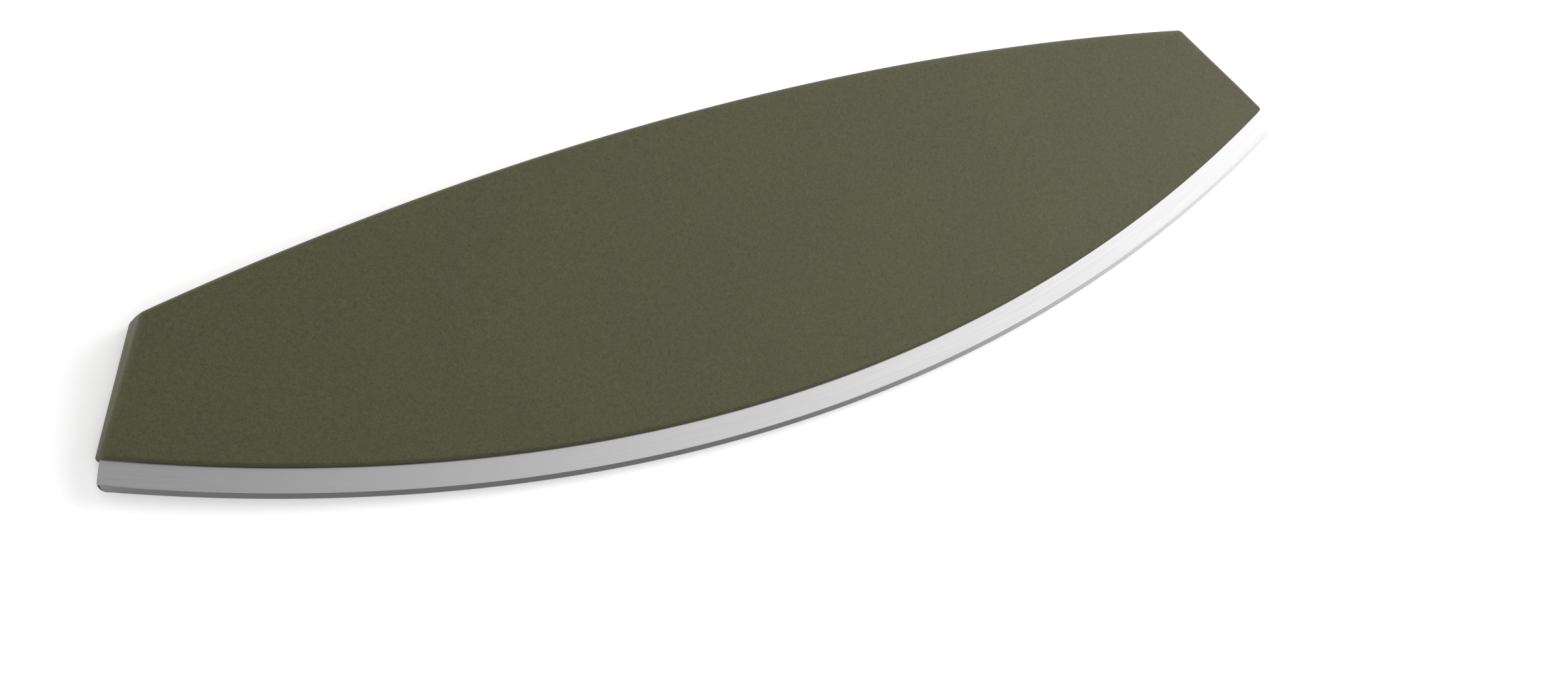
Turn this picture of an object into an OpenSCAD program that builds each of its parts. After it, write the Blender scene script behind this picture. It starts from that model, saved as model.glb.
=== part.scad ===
// Rocking pizza knife: a long blade rocked end over end, held in a wedge handle.
// It lies flat on its rear face: X along the length, Y toward the spine, Z up
// out of the front face. Origin under the middle of the knife. Millimetres.

/* [Handle] */
// Length between the handle's two lower corners, before they are rounded
handle_len = 366; // [330:1:400]
// Height at mid-length, from the belly up to the spine
handle_high = 75.7; // [70:0.1:82]
// Radius of the arc along the spine
spine_radius = 1069; // [950:1:1300]
// Radius of the arc along the belly, where the blade comes out
belly_radius = 498; // [480:1:600]
// Lean of the two ends away from upright, in degrees
end_lean = 35.4; // [28:0.1:38]
// Thickness at the spine
spine_t = 11.8; // [11:0.1:14]
// Thickness at the belly
belly_t = 4.6; // [4.4:0.1:5.4]
// Rounding of the long edges along the spine and the ends
edge_r = 2; // [1:0.1:2]
// Rounding of the long edges along the belly
belly_r = 0.8; // [0.4:0.1:0.8]
// Corner radius at the spine, seen from the front
high_corner_r = 2.3; // [2:0.1:4]
// Corner radius at the belly, seen from the front
low_corner_r = 1.1; // [1:0.1:3]
// How far a corner's arc stands proud of its two sides, so that they cross cleanly
corner_proud = 0.04; // [0.02:0.01:0.08]

/* [Inside of the shells] */
// Wall left between a pocket and the outer face
wall = 1.8; // [1.4:0.1:2.2]
// Width of the solid rim around the pockets
rim_w = 5; // [4:0.5:8]
// Thickness of a rib between two pockets
rib_t = 1.8; // [1.2:0.1:2.4]
// Number of pockets along each shell
pocket_count = 10; // [6:1:14]
// Diameter of the moulded pegs that line up the shells
peg_d = 4; // [3:0.1:5]
// How far a peg stands past the joint
peg_high = 2.8; // [1.5:0.1:3]
// Wall around a peg or its socket
boss_wall = 2; // [1.5:0.1:3]
// Height of the pegs above the belly
peg_up = 54; // [50:0.5:58]

/* [Blade] */
// Thickness of the blade's sheet
blade_t = 1.5; // [1.2:0.1:1.6]
// How far the blade stands out of the belly
blade_show = 7.1; // [5:0.1:9]
// Height of the ground bevel
bevel_high = 1.1; // [0.8:0.05:2]
// Flat left on the blunt cutting edge
edge_flat = 0.2; // [0.1:0.05:0.4]
// Step of the blade's ends in from the handle's ends
end_step = 1.2; // [0.4:0.05:3]
// Radius of the blade's two lower corners
tip_r = 3; // [1.5:0.1:3.5]
// Depth of the tang inside the handle
tang_deep = 32; // [28:0.5:34]
// Step of the tang's ends in from the handle's ends
tang_step = 9; // [7:0.5:16]
// Radius of the tang's upper corners
tang_r = 5; // [2:0.5:8]
// Length of a bonding window in the tang
window_long = 30; // [16:1:36]
// Height of a bonding window in the tang
window_high = 8; // [4:0.5:9]

/* [Tang pins] */
// Number of pins through the tang
pin_count = 5; // [3:1:6]
// Diameter of a pin
pin_d = 5; // [3:0.1:6]
// How far the outermost pins stand in from the ends of the tang
pin_inside = 36; // [30:1:50]
// Height of the pins above the belly
pin_up = 20; // [16:0.5:22]
// Material left between a pin's end and the outer face
pin_cover = 1.2; // [1:0.1:1.6]

/* [Seal and fits] */
// Width of the sealing bead beside the tang
bead_w = 0.45; // [0.3:0.05:0.5]
// Height of the sealing bead
bead_high = 0.8; // [0.5:0.1:1.5]
// Depth of the bead's surface inside the slot's mouth
bead_sunk = 0.1; // [0:0.05:0.3]
// Clearance between the tang and its slot, each side
slot_gap = 0.05; // [0.02:0.01:0.15]
// Clearance around a pin in the shells and at its ends
pin_gap = 0.03; // [0.02:0.01:0.1]
// Clearance around a pin in the tang
hole_gap = 0.1; // [0.05:0.05:0.4]
// Clearance around a peg in its socket
peg_gap = 0.08; // [0.04:0.01:0.2]

/* [Hidden] */
$fn = 96;
// Half of the wedge's angle: each face leans this much from the middle plane
half_angle = atan((spine_t - belly_t) / 2 / handle_high);
// How far a cutting body reaches, well past the ends of the handle
reach = handle_len;
// Height of the whole knife as it lies, and the shift that centres it
lying_high = handle_high + blade_show * cos(half_angle) + edge_flat / 2 * sin(half_angle);
middle_y = handle_high - lying_high / 2;
// Centres of the two arcs; the belly's lowest point is at zero height
spine_centre = [0, handle_high - spine_radius];
belly_centre = [0, belly_radius];
// Lower corner of the handle, and the directions of its right-hand end
low_corner = [handle_len / 2, belly_radius - sqrt(belly_radius^2 - handle_len^2 / 4)];
end_out = [cos(end_lean), sin(end_lean)];
end_up = [-sin(end_lean), cos(end_lean)];
// Arc of the pins about the belly's centre, where the tang ends on it, the angle out to
// the last pin and the angle from one pin to the next
pin_arc_r = belly_radius - pin_up;
tang_end = end_point(tang_step, belly_centre, pin_arc_r, -1);
last_pin_angle = asin(tang_end[0] / pin_arc_r) - 2 * asin(pin_inside / 2 / pin_arc_r);
pin_angle = 2 * last_pin_angle / (pin_count - 1);
tall = 3 * spine_t;

// Point on a line inside the right-hand end, at a distance from an arc's centre:
// the lower crossing for side -1 and the upper one for side 1
function end_point(inside, centre, radius, side) =
    let (
        start = low_corner - inside * end_out - centre,
        along = start * end_up,
        rest = start * start - radius^2
    )
    low_corner - inside * end_out + (-along + side * sqrt(along^2 - rest)) * end_up;

// Height of the joint above the outer face, at a height above the belly
function joint_height(up) = belly_t / 2 + up * tan(half_angle);

// Frame of the middle plane, between the two shells
module on_middle_plane() {
    translate([0, 0, belly_t / 2])
        rotate([half_angle, 0, 0])
            children();
}

// Mirror image across the middle plane
module flipped() {
    on_middle_plane()
        mirror([0, 0, 1])
            rotate([-half_angle, 0, 0])
                translate([0, 0, -belly_t / 2])
                    children();
}

// Both a piece and its mirror image at the other end
module both_ends() {
    children();
    mirror([1, 0, 0])
        children();
}

// Lays the knife down with its middle over the origin
module laid_down() {
    translate([0, -middle_y, 0])
        children();
}

// Area between the two slanted ends, each moved inward by a distance
module between_ends(inside) {
    foot = low_corner - inside * end_out - reach * end_up;
    head = low_corner - inside * end_out + handle_high / cos(end_lean) * end_up;
    polygon([[-foot[0], foot[1]], foot, head, [-head[0], head[1]]]);
}

// Area outside a rounded corner, between the two sides that meet there
module corner_waste(centre, side_a, side_b, radius) {
    spread = 3 * radius;
    difference() {
        polygon([
            centre,
            centre + spread * side_a,
            centre + spread * (side_a + side_b) / (1 + side_a * side_b),
            centre + spread * side_b
        ]);
        translate(centre)
            circle(radius + corner_proud);
    }
}

// Section of a slab whose outer edge is rounded; the outer face is at zero
module rounded_section(wide, edge) {
    translate([0, edge])
        square([wide, tall - edge]);
    square([wide - edge, tall]);
    translate([wide - edge, edge])
        circle(edge);
}

// Disc with a rounded outer edge
module rounded_disc(radius, edge) {
    rotate_extrude($fn = 360)
        rounded_section(radius, edge);
}

// Slab bounded by one slanted end
module end_slab() {
    translate([low_corner[0], low_corner[1], 0])
        rotate([90, 0, end_lean])
            linear_extrude(2 * reach, center = true)
                translate([-2 * reach, 0])
                    rounded_section(2 * reach, edge_r);
}

// Outer form of one shell, with square corners and not yet cut at the joint
module shell_form() {
    intersection() {
        translate([spine_centre[0], spine_centre[1], 0])
            rounded_disc(spine_radius, edge_r);
        translate([belly_centre[0], belly_centre[1], 0])
            rounded_disc(belly_radius, belly_r);
        end_slab();
        mirror([1, 0, 0])
            end_slab();
    }
}

// What a shell loses at its four corners
module shell_corners_waste() {
    high = end_point(high_corner_r, spine_centre, spine_radius - high_corner_r, 1);
    low = end_point(low_corner_r, belly_centre, belly_radius - low_corner_r, -1);
    translate([0, 0, -1])
        linear_extrude(tall)
            both_ends() {
                corner_waste(high, end_out, (high - spine_centre) / norm(high - spine_centre),
                    high_corner_r);
                corner_waste(low, end_out, (low - belly_centre) / norm(low - belly_centre),
                    low_corner_r);
            }
}

// Outline of the tang below the joint line, grown by a clearance
module tang_outline(grow) {
    top_r = belly_radius - tang_deep - grow;
    turn = tang_r + grow;
    centre = end_point(tang_step - grow + turn, belly_centre, top_r + turn, -1);
    difference() {
        intersection() {
            between_ends(tang_step - grow);
            translate(belly_centre)
                circle(belly_radius, $fn = 720);
        }
        translate(belly_centre)
            circle(top_r, $fn = 720);
        both_ends()
            corner_waste(centre, end_out, (belly_centre - centre) / norm(belly_centre - centre), turn);
    }
}

// Outline of the part of the blade that shows, up to its shoulders
module show_outline() {
    edge_radius = belly_radius + blade_show;
    centre = end_point(end_step + tip_r, belly_centre, edge_radius - tip_r, -1);
    difference() {
        intersection() {
            between_ends(end_step);
            translate(belly_centre)
                circle(edge_radius + 1, $fn = 720);
        }
        translate(belly_centre)
            circle(belly_radius, $fn = 720);
        both_ends()
            corner_waste(centre, end_out, (centre - belly_centre) / norm(centre - belly_centre), tip_r);
    }
}

// Puts a piece on the arc of the pins, at a number of pitches from the middle
module along_tang(steps) {
    translate(belly_centre)
        rotate(steps * pin_angle)
            translate([0, -pin_arc_r])
                children();
}

// Long hole with round ends, lying along X
module long_hole(long, high) {
    square([long - high, high], center = true);
    for (side = [-1, 1])
        translate([side * (long - high) / 2, 0])
            circle(high / 2);
}

// Places of the moulded pegs, on every second rib
module at_pegs() {
    pitch = handle_len / (pocket_count + 1);
    for (i = [-pocket_count / 2 + 2:2:pocket_count / 2 - 2])
        translate([i * pitch, peg_up])
            children();
}

// Outline of the pockets above the tang, with the ribs and bosses left standing
module pocket_outline() {
    pitch = handle_len / (pocket_count + 1);
    difference() {
        intersection() {
            between_ends(rim_w);
            translate(spine_centre)
                circle(spine_radius - rim_w, $fn = 720);
            translate(belly_centre)
                circle(belly_radius - tang_deep - rim_w, $fn = 720);
        }
        for (i = [-pocket_count / 2:1:pocket_count / 2])
            translate([i * pitch - rib_t / 2, 0])
                square([rib_t, handle_high]);
        at_pegs()
            circle(peg_d / 2 + boss_wall);
    }
}

// One shell: the outer form cut at the joint and hollowed from there
module shell_body() {
    difference() {
        shell_form();
        on_middle_plane()
            translate([-reach, -reach, 0])
                cube([2 * reach, 2 * reach, tall]);
        shell_corners_waste();
        translate([0, 0, wall])
            linear_extrude(tall)
                pocket_outline();
        on_middle_plane() {
            linear_extrude(blade_t + 2 * slot_gap, center = true)
                tang_outline(slot_gap);
            linear_extrude(blade_t + 2 * bead_w, center = true)
                bead_outline(bead_w, 1);
            for (i = [0:pin_count - 1])
                along_tang(i - (pin_count - 1) / 2)
                    linear_extrude(pin_length() + 2 * pin_gap, center = true)
                        circle(pin_d / 2 + pin_gap);
        }
    }
}

// Length of a tang pin, which ends short of both outer faces
function pin_length() =
    2 * (joint_height(pin_up - pin_d / 2) * cos(half_angle) - pin_cover - pin_gap);

// Outline of the bead in the slot's mouth; extra runs it out past the belly
module bead_outline(grow, extra) {
    difference() {
        intersection() {
            between_ends(tang_step - grow);
            translate(belly_centre)
                circle(belly_radius - bead_sunk + extra, $fn = 720);
        }
        translate(belly_centre)
            circle(belly_radius - bead_sunk - bead_high, $fn = 720);
    }
}

module front_shell() {
    color("DarkOliveGreen")
        laid_down()
            flipped() {
                shell_body();
                // Pegs that stand out of the joint
                on_middle_plane()
                    translate([0, 0, -wall])
                        linear_extrude(peg_high + wall)
                            at_pegs()
                                circle(peg_d / 2);
            }
}

module rear_shell() {
    color("OliveDrab")
        laid_down()
            difference() {
                shell_body();
                // Sockets for the pegs
                on_middle_plane()
                    linear_extrude(2 * (peg_high + peg_gap), center = true)
                        at_pegs()
                            circle(peg_d / 2 + peg_gap);
            }
}

module blade() {
    color("Silver")
        laid_down()
            on_middle_plane()
                intersection() {
                    // Disc ground to a V all round
                    translate([belly_centre[0], belly_centre[1], 0])
                        rotate_extrude($fn = 720)
                            polygon([
                                [0, -blade_t / 2],
                                [belly_radius + blade_show - bevel_high, -blade_t / 2],
                                [belly_radius + blade_show, -edge_flat / 2],
                                [belly_radius + blade_show, edge_flat / 2],
                                [belly_radius + blade_show - bevel_high, blade_t / 2],
                                [0, blade_t / 2]
                            ]);
                    linear_extrude(2 * blade_t, center = true)
                        difference() {
                            union() {
                                tang_outline(0);
                                show_outline();
                            }
                            for (i = [0:pin_count - 1])
                                along_tang(i - (pin_count - 1) / 2)
                                    circle(pin_d / 2 + hole_gap);
                            for (i = [0:pin_count - 2])
                                along_tang(i - (pin_count - 2) / 2)
                                    long_hole(window_long, window_high);
                        }
                }
}

module slot_seal() {
    color("DimGray")
        laid_down()
            on_middle_plane()
                difference() {
                    linear_extrude(blade_t + 2 * bead_w, center = true)
                        bead_outline(bead_w, 0);
                    linear_extrude(blade_t, center = true)
                        tang_outline(0);
                }
}

module tang_pin(i) {
    color("Gainsboro")
        laid_down()
            on_middle_plane()
                along_tang(i - (pin_count - 1) / 2)
                    cylinder(h = pin_length(), d = pin_d, center = true);
}

front_shell();
rear_shell();
blade();
slot_seal();
for (i = [0:pin_count - 1])
    tang_pin(i);
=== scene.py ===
"""Rocking pizza knife: a long ground blade in a wedge-shaped composite handle.

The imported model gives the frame, in metres: X along the knife, Y toward the spine,
Z up out of the front face, with the knife lying on its rear face at Z = 0.
"""

import math

import bpy
import numpy as np
from mathutils import Matrix


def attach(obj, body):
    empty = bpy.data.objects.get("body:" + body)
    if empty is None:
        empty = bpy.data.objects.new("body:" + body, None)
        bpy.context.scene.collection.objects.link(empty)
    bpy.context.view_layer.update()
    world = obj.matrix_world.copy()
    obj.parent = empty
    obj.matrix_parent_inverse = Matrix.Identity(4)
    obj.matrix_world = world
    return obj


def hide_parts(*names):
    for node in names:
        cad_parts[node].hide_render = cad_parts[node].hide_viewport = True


bl_info = {
    "name": "Rocking Pizza Knife",
    "version": (1, 0, 0),
    "blender": (4, 5, 0),
    "location": "3D View > Sidebar > Knife",
    "description": "Builds a rocking pizza knife from its sizes and finishes",
    "category": "Object",
}

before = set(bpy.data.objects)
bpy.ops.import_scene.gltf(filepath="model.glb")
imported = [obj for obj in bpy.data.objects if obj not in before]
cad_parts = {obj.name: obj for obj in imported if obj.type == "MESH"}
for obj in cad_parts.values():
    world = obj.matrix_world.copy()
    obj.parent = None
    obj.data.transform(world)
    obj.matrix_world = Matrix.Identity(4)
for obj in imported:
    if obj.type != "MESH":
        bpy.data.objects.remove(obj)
bpy.context.view_layer.update()
MM = 0.001
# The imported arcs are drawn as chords, which lie up to this far inside the true arcs
CHORD = 0.12 * MM

# Points of the outline along half of the belly or the spine, between the slot's end and the
# lower corner, round a corner, and along an end
ARC_POINTS, REST_POINTS, CORNER_STEPS, END_STEPS = 110, 8, 12, 26
# Rings over a shell's outer face and round its long edge
FACE_RINGS, EDGE_RINGS = 40, 13
# How far in from the outline a shell's flat rim and the step down to its recess reach
RIM_INSET, RECESS_INSET = 4 * MM, 4.3 * MM
# Columns of the blade over the tang and beyond each end of it
TANG_COLUMNS, SIDE_COLUMNS = 241, 16
# Rows of the blade round its rounded corner, above it, and in the tang
TIP_ROWS, FLAT_ROWS, TANG_ROWS = 16, 4, 8
# Faces that meet at more than this angle keep a sharp edge between them
SHARP_ANGLE = math.radians(20)


# Sizes and finishes that a user would change


def length_setting(name, description, default, least, most):
    """A length in metres."""
    return bpy.props.FloatProperty(
        name=name, description=description, default=default, min=least, max=most,
        unit="LENGTH", subtype="DISTANCE")


def angle_setting(name, description, default, least, most):
    """An angle in radians."""
    return bpy.props.FloatProperty(
        name=name, description=description, default=default, min=least, max=most,
        unit="ROTATION", subtype="ANGLE")


def level_setting(name, description, default, most):
    """A light level, where 1 is a white surface's own level."""
    return bpy.props.FloatProperty(
        name=name, description=description, default=default, min=0.0, max=most,
        subtype="FACTOR")


def colour_setting(name, description, default):
    """A colour as an sRGB hex value."""
    return bpy.props.StringProperty(name=name, description=description, default=default)


class KnifeHandleSizes(bpy.types.PropertyGroup):
    """Sizes of the wedge-shaped handle"""

    length: length_setting(
        "Length", "Between the two lower corners before rounding", 0.366, 0.3, 0.42)
    height: length_setting(
        "Height", "From the belly to the spine at mid-length", 0.0757, 0.05, 0.1)
    spine_radius: length_setting(
        "Spine Radius", "Radius of the arc along the spine", 1.069, 0.7, 1.6)
    belly_radius: length_setting(
        "Belly Radius", "Radius of the arc along the belly", 0.498, 0.4, 0.8)
    end_lean: angle_setting(
        "End Lean", "Lean of the two ends away from upright", math.radians(35.4), 0.3, 0.8)
    spine_thickness: length_setting(
        "Spine Thickness", "Thickness of the wedge at the spine", 0.0118, 0.008, 0.02)
    belly_thickness: length_setting(
        "Belly Thickness", "Thickness of the wedge at the belly", 0.0046, 0.003, 0.01)
    edge_round: length_setting(
        "Edge Rounding", "Rounding of the long edges at the spine and ends", 0.002, 0.0005, 0.002)
    belly_round: length_setting(
        "Belly Rounding", "Rounding of the long edges along the belly", 0.0008, 0.0002, 0.001)
    high_corner: length_setting(
        "Upper Corner Radius", "Corner radius at the spine, from the front", 0.0023, 0.002, 0.006)
    low_corner: length_setting(
        "Lower Corner Radius", "Corner radius at the belly, from the front", 0.0011, 0.001, 0.004)
    corner_thinning: length_setting(
        "Corner Thinning", "How far each face is let in at the lower corners",
        0.00165, 0.0, 0.002)
    joint_groove: length_setting(
        "Joint Groove", "Depth of the hairline where the two shells meet",
        0.00004, 0.00001, 0.0005)


class KnifeBladeSizes(bpy.types.PropertyGroup):
    """Sizes of the blade and the bead that seals its slot"""

    thickness: length_setting("Thickness", "Thickness of the sheet", 0.0015, 0.001, 0.002)
    show: length_setting(
        "Visible Height", "How far the blade stands out of the belly", 0.0071, 0.004, 0.012)
    bevel: length_setting("Bevel Height", "Height of the ground bevel", 0.0011, 0.0005, 0.003)
    bevel_rise: length_setting(
        "Bevel Rise", "How much taller the bevel is at the blade's ends", 0.0003, 0.0, 0.001)
    bevel_fade: length_setting(
        "Bevel Fade", "Distance from the ends over which the rise fades", 0.0045, 0.001, 0.02)
    edge_flat: length_setting(
        "Edge Flat", "Flat left on the blunt cutting edge", 0.0002, 0.00005, 0.0005)
    end_step: length_setting(
        "End Step", "Step of the blade's ends in from the handle's corners", 0.00105, 0.0, 0.004)
    end_lean: angle_setting(
        "Blade End Lean", "Lean of the blade's two ends away from upright",
        math.radians(28), 0.2, 0.8)
    tip_radius: length_setting(
        "Tip Radius", "Radius of the blade's two lower corners", 0.0022, 0.001, 0.006)
    tang_deep: length_setting(
        "Tang Depth", "Depth of the tang inside the handle", 0.032, 0.02, 0.04)
    tang_step: length_setting(
        "Tang Step", "Step of the tang's ends in from the handle's", 0.009, 0.005, 0.016)
    slot_gap: length_setting(
        "Slot Gap", "Clearance between the tang and its slot, each side",
        0.00005, 0.00002, 0.0002)
    bead_width: length_setting(
        "Bead Width", "Width of the sealing bead beside the tang", 0.00045, 0.0002, 0.0006)
    bead_depth: length_setting(
        "Bead Depth", "How deep the bead's rebate reaches into the belly", 0.0009, 0.0005, 0.002)


class KnifeFinishes(bpy.types.PropertyGroup):
    """Colours of the knife, as sRGB hex values"""

    composite: colour_setting("Composite", "Olive body colour of the composite", "403E1D")
    composite_dark: colour_setting(
        "Dark Fibres", "Colour of the composite's dark fibres", "312F0B")
    composite_light: colour_setting(
        "Light Fibres", "Colour of the composite's light fibres", "4F4D2D")
    steel: colour_setting("Steel", "Stainless steel of the blade and pins", "DADADA")
    steel_groove: colour_setting(
        "Steel Grooves", "Stainless steel down in the brushed lines", "D6D6D6")
    steel_cut: colour_setting(
        "Sheared Steel", "Stainless steel on the blade's sheared ends", "9A9A9A")
    # Painted shade: a dark steel colour on the blade's lower corners, for the shadow they reflect
    steel_painted_shade: colour_setting(
        "Painted Shade on Steel", "Painted shade on the steel of the blade's lower corners", "4A4A4A")
    # The sealant's dark colour is partly its own and partly painted shade in the seam
    sealant_and_shade: colour_setting("Sealant", "Cured sealant in the slot's mouth", "2A2A26")
    floor: colour_setting("Floor", "Plain pale floor", "F4F4F4")


class KnifeStageSettings(bpy.types.PropertyGroup):
    """Light levels of the studio, where 1 is a white surface's own level"""

    room: level_setting("Room Light", "Level of the plain light from all round", 0.17, 2.0)
    side_light: level_setting(
        "Side Light", "Level of the wide soft light off the knife's right end", 2.35, 8.0)
    rim_light: level_setting(
        "Rim Light", "Level of the soft light off the knife's left end", 0.9, 8.0)
    end_box: bpy.props.FloatProperty(
        name="End Box", description="Power of the soft box close to the knife's right end",
        default=2.5, min=0.0, max=20.0, unit="POWER")
    floor_glow: level_setting(
        "Floor Glow", "Level that the floor shows above what lights it", 0.25, 0.5)


# Outline of the handle and where its pieces lie


def half_angle(size):
    """Half of the wedge's angle: each outer face leans this much from the middle plane."""
    return math.atan((size.spine_thickness - size.belly_thickness) / 2 / size.height)


def end_axes(size, lean=None):
    """Outward and upward directions of the right-hand end, and the handle's lower corner.

    The end leans as the handle's does, unless another lean is given.
    """
    lean = size.end_lean if lean is None else lean
    outward = np.array([math.cos(lean), math.sin(lean)])
    upward = np.array([-math.sin(lean), math.cos(lean)])
    rise = size.belly_radius - math.sqrt(size.belly_radius ** 2 - size.length ** 2 / 4)
    return outward, upward, np.array([size.length / 2, rise])


def end_point(size, inside, centre_y, radius, side, lean=None):
    """Where a line along the right-hand end crosses a circle about (0, centre_y).

    The line passes `inside` the handle's lower corner. From p = start + t * up and
    |p - centre| = radius, the two crossings are t = -b -+ sqrt(b * b - c); side picks the
    lower (-1) or the upper one (1).
    """
    outward, upward, corner = end_axes(size, lean)
    start = corner - inside * outward
    offset = start - np.array([0.0, centre_y])
    along = offset @ upward
    rest = offset @ offset - np.square(radius)
    t = -along + side * np.sqrt(along ** 2 - rest)
    return start + np.multiply.outer(t, upward)


def turn(start, end, steps):
    """Unit vectors that turn evenly from one direction to another."""
    a, b = math.atan2(start[1], start[0]), math.atan2(end[1], end[0])
    angle = np.linspace(a, b, steps + 1)
    return np.stack([np.cos(angle), np.sin(angle)], axis=1)


def handle_outline(size, inset, bead_end):
    """Closed outline of the handle seen from the front, moved inward by `inset`.

    The right half runs from the belly's middle round the lower corner, up the end, round the
    upper corner and back along the spine; the left half is its mirror image. Arcs are
    centre + radius * direction, and the end is a straight line between its two corners.
    Returns the points, their outward directions and which of them lie along the slot.
    """
    # Least radii that the moved corners keep, and half the gap between the two points that
    # stand on either side of the slot's end
    least_low, least_high, beside = 0.3 * MM, 0.15 * MM, 0.04 * MM
    outward, _, _ = end_axes(size)
    belly_centre, spine_centre = size.belly_radius, size.height - size.spine_radius
    belly_r, spine_r = size.belly_radius - inset, size.spine_radius - inset
    low_r = max(size.low_corner - inset, least_low)
    high_r = max(size.high_corner - inset, least_high)
    low = end_point(size, inset + low_r, belly_centre, belly_r - low_r, -1)
    high = end_point(size, inset + high_r, spine_centre, spine_r - high_r, 1)

    last = math.atan2(low[0], belly_centre - low[1])
    stop = math.asin(bead_end / size.belly_radius)
    step = beside / size.belly_radius
    angle = np.concatenate([
        np.linspace(0, stop - step, ARC_POINTS), np.linspace(stop + step, last, REST_POINTS)])
    belly_out = np.stack([np.sin(angle), -np.cos(angle)], axis=1)
    belly = np.array([0, belly_centre]) + belly_r * belly_out
    in_slot = angle < stop

    low_out = turn(belly_out[-1], outward, CORNER_STEPS)[1:]
    low_pts = low + low_r * low_out
    first = math.atan2(high[0], high[1] - spine_centre)
    high_out = turn(outward, (math.sin(first), math.cos(first)), CORNER_STEPS)
    high_pts = high + high_r * high_out
    share = np.linspace(0, 1, END_STEPS + 1)[1:-1, None]
    end_pts = low_pts[-1] + share * (high_pts[0] - low_pts[-1])
    end_out = np.repeat(outward[None], len(end_pts), axis=0)
    angle = np.linspace(first, 0, ARC_POINTS)[1:]
    spine_out = np.stack([np.sin(angle), np.cos(angle)], axis=1)
    spine = np.array([0, spine_centre]) + spine_r * spine_out

    points = np.concatenate([belly, low_pts, end_pts, high_pts, spine])
    out = np.concatenate([belly_out, low_out, end_out, high_out, spine_out])
    slot = np.zeros(len(points), bool)
    slot[:len(belly)] = in_slot
    mirror = np.array([-1, 1])
    points = np.concatenate([points, (points * mirror)[-2:0:-1]])
    out = np.concatenate([out, (out * mirror)[-2:0:-1]])
    slot = np.concatenate([slot, slot[-2:0:-1]])
    return points, out, slot


def let_in(flat, size):
    """How far the outer faces are let in toward the joint, for points of the front view.

    The face is level along the spine and sinks toward the belly's ends, by
    thinning * (1 - h) * (2 * x / length)^2 with h = 0 on the belly's arc and 1 on the spine's.
    """
    x, y = flat[:, 0], flat[:, 1]
    belly = size.belly_radius - np.sqrt(size.belly_radius ** 2 - x ** 2)
    spine = size.height - size.spine_radius + np.sqrt(size.spine_radius ** 2 - x ** 2)
    share = np.clip((y - belly) / (spine - belly), 0, 1)
    return size.corner_thinning * (1 - share) * np.square(2 * x / size.length)


def lay_down(points, sizes, blades, from_middle):
    """Moves points into the knife's frame, with its middle over the origin.

    from_middle turns points of the middle plane by the half angle and lifts them to it.
    Otherwise they already stand on the rear shell's outer face.
    """
    a = half_angle(sizes)
    placed = points.copy()
    if from_middle:
        y, z = points[:, 1], points[:, 2]
        placed[:, 1] = y * math.cos(a) - z * math.sin(a)
        placed[:, 2] = y * math.sin(a) + z * math.cos(a) + sizes.belly_thickness / 2
    lying = sizes.height + blades.show * math.cos(a) + blades.edge_flat / 2 * math.sin(a)
    placed[:, 1] -= sizes.height - lying / 2
    return placed


def mirrored(points, sizes):
    """Mirror image of points of the rear shell across the plane between the two shells."""
    a = half_angle(sizes)
    normal = np.array([0.0, -math.sin(a), math.cos(a)])
    lift = points - np.array([0.0, 0.0, sizes.belly_thickness / 2])
    return points - 2 * (lift @ normal)[:, None] * normal


# Meshes


def put_mesh(name, points, quads, caps, body="root"):
    """Makes a piece from an array of points, an array of quads and a few many-sided caps."""
    mesh = bpy.data.meshes.new(name)
    loops = np.concatenate([quads.ravel()] + [np.asarray(c) for c in caps]).astype(np.int32)
    sides = np.concatenate([np.full(len(quads), 4), [len(c) for c in caps]]).astype(np.int32)
    mesh.vertices.add(len(points))
    mesh.vertices.foreach_set("co", points.astype(np.float32).ravel())
    mesh.loops.add(len(loops))
    mesh.loops.foreach_set("vertex_index", loops)
    mesh.polygons.add(len(sides))
    mesh.polygons.foreach_set("loop_start", (np.cumsum(sides) - sides).astype(np.int32))
    smooth = np.ones(len(sides), bool)
    smooth[len(quads):] = False
    mesh.polygons.foreach_set("use_smooth", smooth)
    mesh.update(calc_edges=True)
    mesh.validate()
    mesh.set_sharp_from_angle(angle=SHARP_ANGLE)
    piece = bpy.data.objects.new(name, mesh)
    bpy.context.scene.collection.objects.link(piece)
    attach(piece, body)
    return piece


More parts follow.
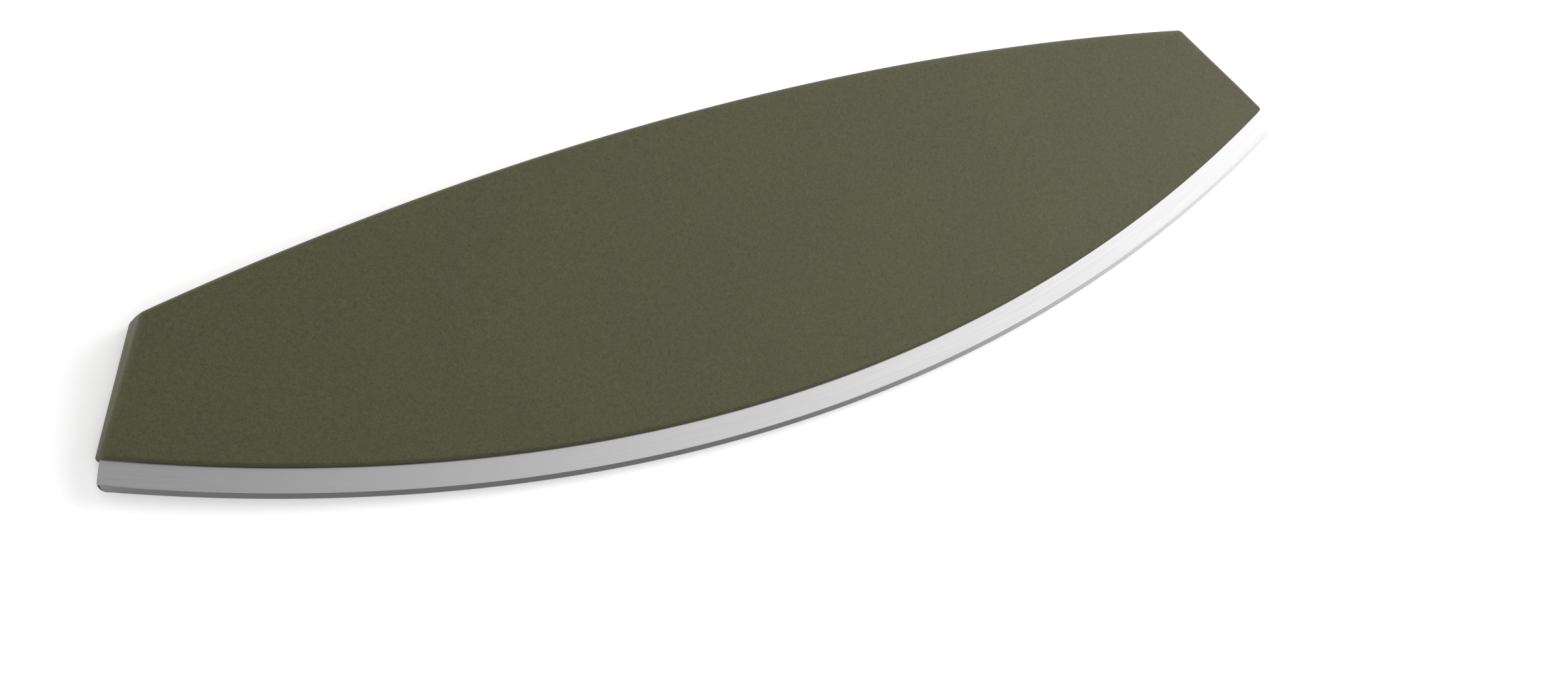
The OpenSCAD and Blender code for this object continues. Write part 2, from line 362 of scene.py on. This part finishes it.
def shell_mesh(sizes, blades):
    """Points and faces of one half shell, standing on its outer face.

    Rings of the outline are stacked from the middle of the outer face to the joint. On the
    face a ring is middle + s * (outline - middle), at the height that let_in() gives. Round
    the long edge, a ring at angle a is inset r * (1 - sin a) and lifted r * (1 - cos a), where
    r shrinks from the spine's rounding to the belly's; its place is blended between the
    outlines inset by the two roundings. Above the wall come the hairline groove of the joint,
    which along the slot is the rebate of the sealing bead, the flat rim, and the recess that
    takes the tang.
    """
    bead_end = end_point(sizes, blades.tang_step - blades.bead_width,
                         sizes.belly_radius, sizes.belly_radius, -1)[0]
    points, out, slot = handle_outline(sizes, CHORD, bead_end)
    # Share of the spine's rounding: none along the belly, where the outline faces down, and
    # from 0.3 at the lower corners to all of it 20 mm further up; evened out over 13 points
    facing_down, corner_share, grow_over, window = -0.2, 0.3, 20 * MM, 13
    rise = np.clip((points[:, 1] - end_axes(sizes)[2][1]) / grow_over, 0, 1)
    share = np.where(out[:, 1] < facing_down, 0, corner_share + (1 - corner_share) * rise)
    share = np.convolve(np.pad(share, window // 2, mode="wrap"), np.ones(window) / window,
                        mode="valid")[:, None]
    round_r = sizes.belly_round + share * (sizes.edge_round - sizes.belly_round)

    def inner(part):
        """The outline inset by a part of the rounding at each of its points."""
        small, _, _ = handle_outline(sizes, CHORD + part * sizes.belly_round, bead_end)
        large, _, _ = handle_outline(sizes, CHORD + part * sizes.edge_round, bead_end)
        return small + share * (large - small)

    def joint(y):
        """Height of the joint plane at a distance y from the belly's middle."""
        return sizes.belly_thickness / 2 + y * math.tan(half_angle(sizes))

    def ring(flat, height):
        """Points of the front view with their heights."""
        return np.concatenate([flat, np.reshape(height, (-1, 1))], axis=1)

    # The outer face and its rounded edge
    rings = []
    face = inner(1.0)
    middle = np.array([0.0, sizes.height / 2])
    for s in np.linspace(0.02, 1, FACE_RINGS)[:-1]:
        flat = middle + s * (face - middle)
        rings.append(ring(flat, let_in(flat, sizes)))
    sunk = let_in(face, sizes)[:, None]
    for a in np.linspace(0, math.pi / 2, EDGE_RINGS):
        rings.append(ring(inner(1 - math.sin(a)), sunk + round_r * (1 - math.cos(a))))
    # The groove or rebate at the joint, then the rim and the recess
    sink = np.where(slot, blades.thickness / 2 + blades.bead_width, sizes.joint_groove)
    inset = np.where(slot, blades.bead_depth, sizes.joint_groove)
    floor = np.where(slot, blades.thickness / 2 + blades.slot_gap, 0)
    groove = points - inset[:, None] * out
    rings.append(ring(points, joint(points[:, 1]) - sink))
    rings.append(ring(groove, joint(groove[:, 1]) - sink))
    rings.append(ring(groove, joint(groove[:, 1]) - floor))
    rim, _, _ = handle_outline(sizes, RIM_INSET, bead_end)
    rings.append(ring(rim, joint(rim[:, 1]) - floor))
    recess, _, _ = handle_outline(sizes, RECESS_INSET, bead_end)
    rings.append(ring(recess, joint(recess[:, 1]) - blades.thickness / 2 - blades.slot_gap))

    count = len(points)
    index = np.arange(count * len(rings)).reshape(len(rings), count)
    right = np.roll(index, -1, axis=1)
    quads = np.stack([index[:-1], right[:-1], right[1:], index[1:]], axis=-1).reshape(-1, 4)
    return np.concatenate(rings), quads, [index[0][::-1], index[-1]]


# Places of the blade's four finishes in its list of materials; the last is painted shade on the
# corners
BRUSHED, GROUND, SHEARED, PAINTED_SHADE = range(4)


def blade_mesh(sizes, blades):
    """Points, faces, pattern coordinates and finish of each face, in the blade's middle plane.

    A point lies at distance d from the cutting edge and angle t about the belly's centre:
    x = r * sin t, y = centre - r * cos t with r = edge radius - d. Half the thickness grows
    evenly over the bevel's height b and then stays, with b = bevel + rise * exp(-e / fade) at
    a distance e from the end. The rows follow the bevel's top line and run out to the end
    line or to the rounded corner; the tang's rows stop at its own ends, which leaves the
    shoulders.
    """
    centre, edge_r = sizes.belly_radius, sizes.belly_radius + blades.show - CHORD
    outward, _, _ = end_axes(sizes, blades.end_lean)
    tip = end_point(sizes, blades.end_step + blades.tip_radius, centre,
                    edge_r - blades.tip_radius, -1, blades.end_lean)
    down = tip - np.array([0, centre])
    corner = tip + blades.tip_radius * turn(down / np.linalg.norm(down), outward, TIP_ROWS)
    # Distance from the cutting edge and angle of each point round the corner
    drop = edge_r - np.hypot(corner[:, 0], corner[:, 1] - centre)
    swing = np.arctan2(corner[:, 0], centre - corner[:, 1])

    def end_angle(depth, inside, lean):
        """Angle at which rows of these depths meet the end line."""
        p = end_point(sizes, inside, centre, edge_r - depth, -1, lean)
        return np.arctan2(p[..., 0], centre - p[..., 1])

    def follow(rows, high):
        """Depths of the rows where the bevel is this high: those below its top line and
        those above it are spread evenly."""
        return np.where(rows <= blades.bevel, rows * high / blades.bevel, high + (
            rows - blades.bevel) * (blades.show - high) / (blades.show - blades.bevel))

    rows = np.unique(np.round(np.concatenate([
        drop - drop[0], [blades.bevel], np.linspace(drop[-1], blades.show, FLAT_ROWS)]), 9))
    last = follow(rows, blades.bevel + blades.bevel_rise)
    ends = np.where(last <= drop[-1], np.interp(last, drop - drop[0], swing),
                    end_angle(np.maximum(last, drop[-1]), blades.end_step, blades.end_lean))
    tang_end = end_angle(blades.show, blades.tang_step, sizes.end_lean)
    deep = np.linspace(blades.show, blades.show + blades.tang_deep, TANG_ROWS + 1)[1:]
    deep_ends = end_angle(deep, blades.tang_step, sizes.end_lean)

    middle = np.linspace(-1, 1, TANG_COLUMNS)
    side = np.linspace(0, 1, SIDE_COLUMNS + 1)[1:]
    outer = tang_end + side * (ends[:, None] - tang_end)
    show_angle = np.concatenate([-outer[:, ::-1], np.broadcast_to(
        middle * tang_end, (len(rows), TANG_COLUMNS)), outer], axis=1)
    tang_angle = deep_ends[:, None] * middle
    angle = np.concatenate([show_angle.ravel(), tang_angle.ravel()])
    inward = (ends[:, None] - np.abs(show_angle)) * edge_r
    high = blades.bevel + blades.bevel_rise * np.exp(-inward / blades.bevel_fade)
    depth = np.concatenate([
        follow(rows[:, None], high).ravel(), np.repeat(deep, TANG_COLUMNS)])
    # Depth as a share of the bevel's height: 0 on the cutting edge, 1 on the bevel's top line
    climb = depth / np.concatenate([
        high.ravel(), np.full(deep.size * TANG_COLUMNS, blades.bevel)])
    half = np.minimum(blades.edge_flat + climb * (blades.thickness - blades.edge_flat),
                      blades.thickness) / 2
    radius = edge_r - depth
    flat = np.stack([radius * np.sin(angle), centre - radius * np.cos(angle)], axis=1)
    front = np.concatenate([flat, half[:, None]], axis=1)
    back = front * np.array([1, 1, -1])

    wide = show_angle.shape[1]
    top = np.arange(len(rows) * wide).reshape(len(rows), wide)
    tang = top.size + np.arange(deep.size * TANG_COLUMNS).reshape(-1, TANG_COLUMNS)
    tang = np.concatenate([top[-1:, SIDE_COLUMNS:-SIDE_COLUMNS], tang])

    def grid_quads(index):
        """Faces between the points of a grid."""
        return np.stack([index[:-1, :-1], index[:-1, 1:], index[1:, 1:], index[1:, :-1]],
                        axis=-1).reshape(-1, 4)

    # Front faces, the same ones behind, and walls along the edges that only one face has
    face = np.concatenate([grid_quads(top), grid_quads(tang)])
    ground = np.concatenate([climb[face].min(axis=1) < 1 - 1e-4] * 2)
    count = len(flat)
    edges = np.stack([face, np.roll(face, -1, axis=1)], axis=-1).reshape(-1, 2)
    key = np.sort(edges, axis=1) @ np.array([count, 1])
    _, first, times = np.unique(key, return_index=True, return_counts=True)
    rim = edges[first[times == 1]]
    walls = np.stack([rim[:, 1], rim[:, 0], rim[:, 0] + count, rim[:, 1] + count], axis=1)
    quads = np.concatenate([face, face[:, ::-1] + count, walls])
    # The flat of the cutting edge is ground and the ends are sheared. The corners' walls, up
    # to the top of the bevel, get painted shade: a dark steel colour for the shade they reflect
    top_of_wall = climb[rim].max(axis=1)
    wall = np.select([top_of_wall < 1e-6, top_of_wall < 1 + 1e-6], [GROUND, PAINTED_SHADE], SHEARED)
    finish = np.concatenate([np.where(ground, GROUND, BRUSHED), wall])
    pattern = np.stack([angle * edge_r, depth], axis=1)
    return np.concatenate([front, back]), quads, np.concatenate([pattern, pattern]), finish


# Materials


def linear(hex_colour):
    """Linear RGBA of an sRGB hex colour."""
    value = np.array([int(hex_colour[i:i + 2], 16) for i in (0, 2, 4)]) / 255
    value = np.where(value <= 0.04045, value / 12.92, ((value + 0.055) / 1.055) ** 2.4)
    return (*(float(v) for v in value), 1.0)


def add_node(tree, kind, links=None, **settings):
    """Adds one node, sets its attributes and inputs by name, and links its inputs.

    An input may be named by its label, with _ for a space, or by its number as in_0.
    """
    node = tree.nodes.new(kind)

    def socket(name):
        return node.inputs[int(name[3:])] if name.startswith("in_") else (
            node.inputs[name.replace("_", " ")])

    for name, value in settings.items():
        if not name.startswith("in_") and hasattr(node, name):
            setattr(node, name, value)
        else:
            socket(name).default_value = value
    for name, source in (links or {}).items():
        tree.links.new(source, socket(name))
    return node


def new_material(name):
    """An empty node material and its output."""
    material = bpy.data.materials.new(name)
    material.use_nodes = True
    tree = material.node_tree
    tree.nodes.clear()
    return material, tree, add_node(tree, "ShaderNodeOutputMaterial")


def composite_material(finish):
    """Fibre-filled composite, moulded matt.

    Short cut fibres lie in every direction in an olive resin, so the eye sees a fine felt of
    slightly darker and lighter marks, a few dark specks, soft clouding, and a dry, finely
    pebbled skin.
    """
    material, tree, out = new_material("Fibre-filled composite, moulded matt")
    place = add_node(tree, "ShaderNodeTexCoord").outputs["Object"]
    # Coordinates in millimetres, bent a little so that no fibre is straight
    scaled = add_node(tree, "ShaderNodeVectorMath", {"in_0": place}, operation="SCALE", Scale=1000)
    bend = add_node(tree, "ShaderNodeTexNoise", {"Vector": scaled.outputs[0]}, Scale=0.9, Detail=2)
    bent = add_node(tree, "ShaderNodeVectorMath", {
        "in_0": bend.outputs["Color"], "in_2": scaled.outputs[0]}, operation="MULTIPLY_ADD",
        in_1=(0.9, 0.9, 0.9))
    # Three lays of fibres, 1 mm long and 0.15 mm wide, each turned from the others
    felt = None
    for turned, aside in ((0.2, 0.0), (1.3, 40.0), (2.4, 80.0)):
        lay = add_node(tree, "ShaderNodeMapping", {"Vector": bent.outputs[0]},
                       vector_type="TEXTURE", Location=(aside, aside, aside),
                       Rotation=(0.0, 0.0, turned), Scale=(1.0, 0.15, 0.15))
        fibre = add_node(tree, "ShaderNodeTexNoise", {"Vector": lay.outputs[0]},
                         Scale=0.7, Detail=1)
        felt = fibre if felt is None else add_node(tree, "ShaderNodeMath", {
            "in_0": felt.outputs[0], "in_1": fibre.outputs[0]}, operation="ADD")
    tone = add_node(tree, "ShaderNodeMapRange", {"Value": felt.outputs[0]},
                    From_Min=1.15, From_Max=1.85)
    # Grain of the filler, 0.3 mm, and soft clouding over 30 mm
    grain = add_node(tree, "ShaderNodeTexNoise", {"Vector": scaled.outputs[0]},
                     Scale=3.2, Detail=1)
    cloud = add_node(tree, "ShaderNodeTexNoise", {"Vector": scaled.outputs[0]},
                     Scale=0.035, Detail=3)
    # Dark specks 0.4 mm across, in one cell of five of a 1.2 mm pattern
    speck = add_node(tree, "ShaderNodeTexVoronoi", {"Vector": bent.outputs[0]}, Scale=0.8)
    chosen = add_node(tree, "ShaderNodeSeparateXYZ", {"in_0": speck.outputs["Color"]})
    rare = add_node(tree, "ShaderNodeMath", {"in_0": chosen.outputs[0]},
                    operation="GREATER_THAN", in_1=0.8)
    spot = add_node(tree, "ShaderNodeMapRange", {"Value": speck.outputs["Distance"]},
                    interpolation_type="SMOOTHSTEP", From_Min=0.10, From_Max=0.24,
                    To_Min=0.9, To_Max=0.0)
    mask = add_node(tree, "ShaderNodeMath", {
        "in_0": rare.outputs[0], "in_1": spot.outputs[0]}, operation="MULTIPLY")
    dark_half = add_node(tree, "ShaderNodeMix", {"Factor": tone.outputs[0]}, data_type="RGBA",
                         in_6=linear(finish.composite_dark), in_7=linear(finish.composite_light))
    body = add_node(tree, "ShaderNodeMix", {"in_6": dark_half.outputs[2]}, data_type="RGBA",
                    Factor=0.3, in_7=linear(finish.composite))
    specked = add_node(tree, "ShaderNodeMix", {
        "Factor": mask.outputs[0], "in_6": body.outputs[2]}, data_type="RGBA",
        in_7=linear(finish.composite_dark))
    grain_gain = add_node(tree, "ShaderNodeMapRange", {"Value": grain.outputs[0]},
                          From_Min=0.25, From_Max=0.75, To_Min=0.92, To_Max=1.08)
    cloud_gain = add_node(tree, "ShaderNodeMapRange", {"Value": cloud.outputs[0]},
                          From_Min=0.3, From_Max=0.7, To_Min=0.96, To_Max=1.04)
    gain = add_node(tree, "ShaderNodeMath", {
        "in_0": grain_gain.outputs[0], "in_1": cloud_gain.outputs[0]}, operation="MULTIPLY")
    colour = add_node(tree, "ShaderNodeVectorMath", {
        "in_0": specked.outputs[2], "Scale": gain.outputs[0]}, operation="SCALE")
    rough = add_node(tree, "ShaderNodeMapRange", {"Value": grain.outputs[0]},
                     From_Min=0.2, From_Max=0.8, To_Min=0.48, To_Max=0.6)
    # Pebbles of the moulded skin, 0.2 mm across and a few hundredths high
    pebble = add_node(tree, "ShaderNodeTexNoise", {"Vector": scaled.outputs[0]},
                      Scale=4.5, Detail=2)
    bump = add_node(tree, "ShaderNodeBump", {"Height": pebble.outputs[0]},
                    Strength=0.25, Distance=0.00004)
    shader = add_node(tree, "ShaderNodeBsdfPrincipled", {
        "Base Color": colour.outputs[0], "Roughness": rough.outputs[0],
        "Normal": bump.outputs[0]}, IOR=1.55)
    tree.links.new(shader.outputs[0], out.inputs[0])
    return material


def brushed_steel_material(finish, name, along, across, roughness, uneven, bump_height):
    """Stainless steel with fine parallel lines, from the blade's own pattern coordinates.

    along and across are the length and the spacing of the lines in millimetres, read from
    the pattern map, whose first direction follows the cutting edge. uneven is how much the
    roughness changes from line to line, which the eye sees as faint streaks.
    """
    material, tree, out = new_material(name)
    place = add_node(tree, "ShaderNodeUVMap", uv_map="pattern")
    lines = add_node(tree, "ShaderNodeVectorMath", {"in_0": place.outputs[0]},
                     operation="MULTIPLY", in_1=(1 / (along * MM), 1 / (across * MM), 1))
    fine = add_node(tree, "ShaderNodeTexNoise", {"Vector": lines.outputs[0]},
                    noise_dimensions="2D", Scale=1, Detail=4, Roughness=0.65)
    wide = add_node(tree, "ShaderNodeTexNoise", {"Vector": lines.outputs[0]},
                    noise_dimensions="2D", Scale=0.25, Detail=2)
    both = add_node(tree, "ShaderNodeMath", {
        "in_0": fine.outputs[0], "in_1": wide.outputs[0]}, operation="ADD")
    level = add_node(tree, "ShaderNodeMapRange", {"Value": both.outputs[0]},
                     From_Min=0.7, From_Max=1.3)
    colour = add_node(tree, "ShaderNodeMix", {"Factor": level.outputs[0]}, data_type="RGBA",
                      in_6=linear(finish.steel_groove), in_7=linear(finish.steel))
    rough = add_node(tree, "ShaderNodeMapRange", {"Value": level.outputs[0]},
                     To_Min=roughness + uneven, To_Max=roughness - uneven)
    bump = add_node(tree, "ShaderNodeBump", {"Height": fine.outputs[0]},
                    Strength=0.3, Distance=bump_height)
    shader = add_node(tree, "ShaderNodeBsdfPrincipled", {
        "Base Color": colour.outputs[2], "Roughness": rough.outputs[0],
        "Normal": bump.outputs[0]}, Metallic=1.0)
    tree.links.new(shader.outputs[0], out.inputs[0])
    return material


def drawn_steel_material(name, high, low, roughness):
    """Stainless steel with lines along Z, from the colours of its ridges and its grooves.

    Drawn wire keeps faint lines along it and a soft shine. A sheared end has short lines through
    the sheet's thickness and is duller. On the blade's lower corners a dark colour is painted
    shade, for the shadow that they reflect under the edge.
    """
    material, tree, out = new_material(name)
    place = add_node(tree, "ShaderNodeTexCoord").outputs["Object"]
    # Lines 0.25 mm apart and 7 mm long
    lines = add_node(tree, "ShaderNodeVectorMath", {"in_0": place}, operation="MULTIPLY",
                     in_1=(4000, 4000, 150))
    streak = add_node(tree, "ShaderNodeTexNoise", {"Vector": lines.outputs[0]}, Scale=1, Detail=3)
    colour = add_node(tree, "ShaderNodeMix", {"Factor": streak.outputs[0]}, data_type="RGBA",
                      in_6=linear(low), in_7=linear(high))
    bump = add_node(tree, "ShaderNodeBump", {"Height": streak.outputs[0]},
                    Strength=0.2, Distance=0.00001)
    shader = add_node(tree, "ShaderNodeBsdfPrincipled", {
        "Base Color": colour.outputs[2], "Normal": bump.outputs[0]},
        Metallic=1.0, Roughness=roughness)
    tree.links.new(shader.outputs[0], out.inputs[0])
    return material


def silicone_material(finish):
    """Silicone, cured in the slot.

    Wiped smooth by a finger, it is softly shining and slightly uneven. Its dark colour is partly
    its own and partly painted shade of the gap between handle and blade.
    """
    material, tree, out = new_material("Silicone, cured")
    place = add_node(tree, "ShaderNodeTexCoord").outputs["Object"]
    uneven = add_node(tree, "ShaderNodeTexNoise", {"Vector": place}, Scale=900, Detail=3)
    gain = add_node(tree, "ShaderNodeMapRange", {"Value": uneven.outputs[0]},
                    To_Min=0.8, To_Max=1.2)
    colour = add_node(tree, "ShaderNodeVectorMath", {"Scale": gain.outputs[0]},
                      operation="SCALE", in_0=linear(finish.sealant_and_shade)[:3])
    bump = add_node(tree, "ShaderNodeBump", {"Height": uneven.outputs[0]},
                    Strength=0.3, Distance=0.00005)
    shader = add_node(tree, "ShaderNodeBsdfPrincipled", {
        "Base Color": colour.outputs[0], "Normal": bump.outputs[0]},
        Roughness=0.5, IOR=1.41)
    tree.links.new(shader.outputs[0], out.inputs[0])
    return material


def board_material(finish, glow):
    """Uncoated paper board.

    It is evenly matt, so the eye sees only its white and the shadow. To the camera and in
    reflections it is lighter than what falls on it, by the glow.
    """
    material, tree, out = new_material("Paper board, matt white")
    board = add_node(tree, "ShaderNodeBsdfDiffuse", Color=linear(finish.floor))
    path = add_node(tree, "ShaderNodeLightPath")
    seen = add_node(tree, "ShaderNodeMath", {
        "in_0": path.outputs["Is Camera Ray"], "in_1": path.outputs["Is Glossy Ray"]},
        operation="ADD")
    shown = add_node(tree, "ShaderNodeMath", {
        "in_0": seen.outputs[0], "in_1": path.outputs["Is Transmission Ray"]},
        operation="ADD")
    level = add_node(tree, "ShaderNodeMath", {"in_0": shown.outputs[0]},
                     operation="MULTIPLY", in_1=glow)
    light = add_node(tree, "ShaderNodeEmission", {"Strength": level.outputs[0]})
    both = add_node(tree, "ShaderNodeAddShader", {
        "in_0": board.outputs[0], "in_1": light.outputs[0]})
    tree.links.new(both.outputs[0], out.inputs[0])
    return material


def dress(node, material):
    """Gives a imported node's mesh a new material in its first slot."""
    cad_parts[node].material_slots[0].material = material


# Stage


def lay_floor(scene, material):
    """Lays the floor a little below the knife, so that no two faces share one plane."""
    half, level = 4.0, -0.1 * MM
    mesh = bpy.data.meshes.new("floor")
    mesh.from_pydata([(-half, -half, level), (half, -half, level),
                      (half, half, level), (-half, half, level)], [], [(0, 1, 2, 3)])
    mesh.materials.append(material)
    floor = bpy.data.objects.new("floor", mesh)
    scene.collection.objects.link(floor)


def light_room(scene, setting):
    """Makes the room a smooth gradient with a white band along the horizon.

    On a plain level lie two wide soft lights, each given by the azimuth and height of its
    direction in degrees and by the cosines between which it fades in.
    """
    lights = ((7, 17, 0.565, 1.14, setting.side_light),
              (170, 38, 0.33, 0.62, setting.rim_light))
    # Heights, as the sine, between which the band fades out
    band_low, band_high = 0.06, 0.13
    world = bpy.data.worlds.new("Studio")
    scene.world = world
    world.use_nodes = True
    tree = world.node_tree
    tree.nodes.clear()
    toward = add_node(tree, "ShaderNodeTexCoord").outputs["Generated"]
    total = None
    for azimuth, height, dark, bright, level in lights:
        azimuth, height = math.radians(azimuth), math.radians(height)
        cosine = add_node(tree, "ShaderNodeVectorMath", {"in_0": toward},
                          operation="DOT_PRODUCT", in_1=(
                              math.cos(height) * math.cos(azimuth),
                              math.cos(height) * math.sin(azimuth), math.sin(height)))
        start = setting.room if total is None else 0.0
        lobe = add_node(tree, "ShaderNodeMapRange", {"Value": cosine.outputs["Value"]},
                        interpolation_type="SMOOTHSTEP", From_Min=dark, From_Max=bright,
                        To_Min=start, To_Max=start + level)
        total = lobe if total is None else add_node(
            tree, "ShaderNodeMath", {"in_0": total.outputs[0], "in_1": lobe.outputs[0]},
            operation="ADD")
    sine = add_node(tree, "ShaderNodeSeparateXYZ", {"in_0": toward}).outputs["Z"]
    band = add_node(tree, "ShaderNodeMapRange", {"Value": sine},
                    interpolation_type="SMOOTHSTEP", From_Min=band_low, From_Max=band_high,
                    To_Min=1.0, To_Max=0.0)
    strength = add_node(tree, "ShaderNodeMix", {
        "Factor": band.outputs[0], "in_2": total.outputs[0]}, in_3=1.0)
    sky = add_node(tree, "ShaderNodeBackground", {"Strength": strength.outputs[0]},
                   Color=(1, 1, 1, 1))
    add_node(tree, "ShaderNodeOutputWorld", {"in_0": sky.outputs[0]})


def stand(scene, name, data, axes, place):
    """Puts a lamp or a camera in its place; axes are its right, its up and its back."""
    thing = bpy.data.objects.new(name, data)
    scene.collection.objects.link(thing)
    turned = np.stack(axes, axis=1).tolist()
    thing.matrix_world = Matrix(
        [[*row, p] for row, p in zip(turned, place)] + [[0, 0, 0, 1]])
    return thing


def add_end_box(scene, power):
    """Adds the soft box that lightens the composite near the knife's right end.

    It is kept out of reflections, so that it leaves no hot spot on the steel.
    """
    data = bpy.data.lights.new("end_box", "AREA")
    data.shape, data.size, data.energy = "SQUARE", 0.5, power
    place, target = np.array((0.55, 0.1, 0.3)), np.array((0.1, 0.0, 0.0))
    back = (place - target) / np.linalg.norm(place - target)
    right = np.cross((0, 0, 1), back)
    right /= np.linalg.norm(right)
    lamp = stand(scene, "end_box", data, (right, np.cross(back, right), back), place)
    lamp.visible_glossy = False


def set_camera(scene):
    """Sets the camera off the left end, where it looks down at the front face."""
    data = bpy.data.cameras.new("camera")
    data.sensor_width = 36
    data.lens = 68.4307
    right = np.array([0.780600, -0.392603, 0.486341])
    down = np.array([-0.252152, -0.909785, -0.329715])
    forward = np.array([0.571912, 0.134744, -0.809173])
    scene.camera = stand(scene, "camera", data, (right, -down, -forward),
                         (-0.430158, -0.122926, 0.608353))


# Pieces


class KNIFE_OT_handle(bpy.types.Operator):
    """Build the handle's two half shells"""

    bl_idname = "knife.handle"
    bl_label = "Handle Shells"

    def execute(self, context):
        scene = context.scene
        sizes, blades = scene.knife_handle, scene.knife_blade
        material = composite_material(scene.knife_finish)
        points, quads, caps = shell_mesh(sizes, blades)
        rear = put_mesh("handle_rear_shell", lay_down(points, sizes, blades, False),
                        quads, caps)
        front = put_mesh("handle_front_shell",
                         lay_down(mirrored(points, sizes), sizes, blades, False),
                         quads[:, ::-1], [c[::-1] for c in caps])
        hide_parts("rear_shell")
        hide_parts("front_shell")
        for shell in (rear, front):
            shell.data.materials.append(material)
        return {"FINISHED"}


class KNIFE_OT_blade(bpy.types.Operator):
    """Build the blade with its bevels and tang"""

    bl_idname = "knife.blade"
    bl_label = "Blade"

    def execute(self, context):
        scene = context.scene
        sizes, blades, finish = scene.knife_handle, scene.knife_blade, scene.knife_finish
        points, quads, pattern, faces = blade_mesh(sizes, blades)
        blade = put_mesh("blade_sheet", lay_down(points, sizes, blades, True),
                         quads, [])
        mesh = blade.data
        layer = mesh.uv_layers.new(name="pattern")
        corners = np.zeros(len(mesh.loops), np.int32)
        mesh.loops.foreach_get("vertex_index", corners)
        layer.data.foreach_set("uv", pattern[corners].astype(np.float32).ravel())
        # The rolled sheet is brushed along its length: long fine lines beside the edge
        mesh.materials.append(brushed_steel_material(
            finish, "Stainless steel, brushed", along=14, across=0.16,
            roughness=0.24, uneven=0.028, bump_height=0.001 * MM))
        # The bevel is ground across the edge: short lines that catch the light less
        mesh.materials.append(brushed_steel_material(
            finish, "Stainless steel, ground", along=0.3, across=2.0,
            roughness=0.26, uneven=0.006, bump_height=0.0002 * MM))
        # The ends are sheared; the corners between them and the edge get painted shade, a dark
        # colour
        for name, tone in (("Stainless steel, sheared", finish.steel_cut),
                           ("Stainless steel, painted shade", finish.steel_painted_shade)):
            mesh.materials.append(drawn_steel_material(name, tone, tone, roughness=0.5))
        mesh.polygons.foreach_set("material_index", faces.astype(np.int32))
        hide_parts("blade")
        return {"FINISHED"}


class KNIFE_OT_slot_seal(bpy.types.Operator):
    """Finish the bead of sealant in the slot's mouth"""

    bl_idname = "knife.slot_seal"
    bl_label = "Slot Seal"

    def execute(self, context):
        # The bead's dark colour is partly painted shade of the seam between handle and blade
        dress("slot_seal", silicone_material(context.scene.knife_finish))
        return {"FINISHED"}


class KNIFE_OT_tang_pins(bpy.types.Operator):
    """Finish the dowel pins through the tang"""

    bl_idname = "knife.tang_pins"
    bl_label = "Tang Pins"

    def execute(self, context):
        finish = context.scene.knife_finish
        material = drawn_steel_material(
            "Stainless steel, drawn", finish.steel, finish.steel_groove, roughness=0.3)
        for node in sorted(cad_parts):
            if node.startswith("tang_pin_"):
                dress(node, material)
        return {"FINISHED"}


class KNIFE_OT_stage(bpy.types.Operator):
    """Set the pale floor, the soft lights and the camera"""

    bl_idname = "knife.stage"
    bl_label = "Stage"

    def execute(self, context):
        scene = context.scene
        setting = scene.knife_stage
        scene.view_settings.view_transform = "Standard"
        lay_floor(scene, board_material(scene.knife_finish, setting.floor_glow))
        light_room(scene, setting)
        add_end_box(scene, setting.end_box)
        set_camera(scene)
        return {"FINISHED"}


class KNIFE_PT_panel(bpy.types.Panel):
    """Sizes, finishes and the operators that build the knife"""

    bl_idname = "KNIFE_PT_panel"
    bl_label = "Rocking Pizza Knife"
    bl_space_type = "VIEW_3D"
    bl_region_type = "UI"
    bl_category = "Knife"

    def draw(self, context):
        layout = self.layout
        for title, group in (
                ("Handle", context.scene.knife_handle), ("Blade", context.scene.knife_blade),
                ("Finishes", context.scene.knife_finish), ("Stage", context.scene.knife_stage)):
            box = layout.box()
            box.label(text=title)
            for name in group.__annotations__:
                box.prop(group, name)
        for operator in OPERATORS:
            layout.operator(operator.bl_idname)


GROUPS = {
    "knife_handle": KnifeHandleSizes,
    "knife_blade": KnifeBladeSizes,
    "knife_finish": KnifeFinishes,
    "knife_stage": KnifeStageSettings,
}
OPERATORS = (KNIFE_OT_handle, KNIFE_OT_blade, KNIFE_OT_slot_seal, KNIFE_OT_tang_pins,
             KNIFE_OT_stage)


def register():
    """Registers the groups, the operators and the panel."""
    for name, group in GROUPS.items():
        bpy.utils.register_class(group)
        setattr(bpy.types.Scene, name, bpy.props.PointerProperty(type=group))
    for operator in OPERATORS:
        bpy.utils.register_class(operator)
    bpy.utils.register_class(KNIFE_PT_panel)


def unregister():
    """Takes away what register() added."""
    bpy.utils.unregister_class(KNIFE_PT_panel)
    for operator in reversed(OPERATORS):
        bpy.utils.unregister_class(operator)
    for name, group in reversed(list(GROUPS.items())):
        delattr(bpy.types.Scene, name)
        bpy.utils.unregister_class(group)


def main():
    """Builds the whole knife."""
    register()
    bpy.ops.knife.handle()
    bpy.ops.knife.blade()
    bpy.ops.knife.slot_seal()
    bpy.ops.knife.tang_pins()
    bpy.ops.knife.stage()


if __name__ == "__main__":
    main()
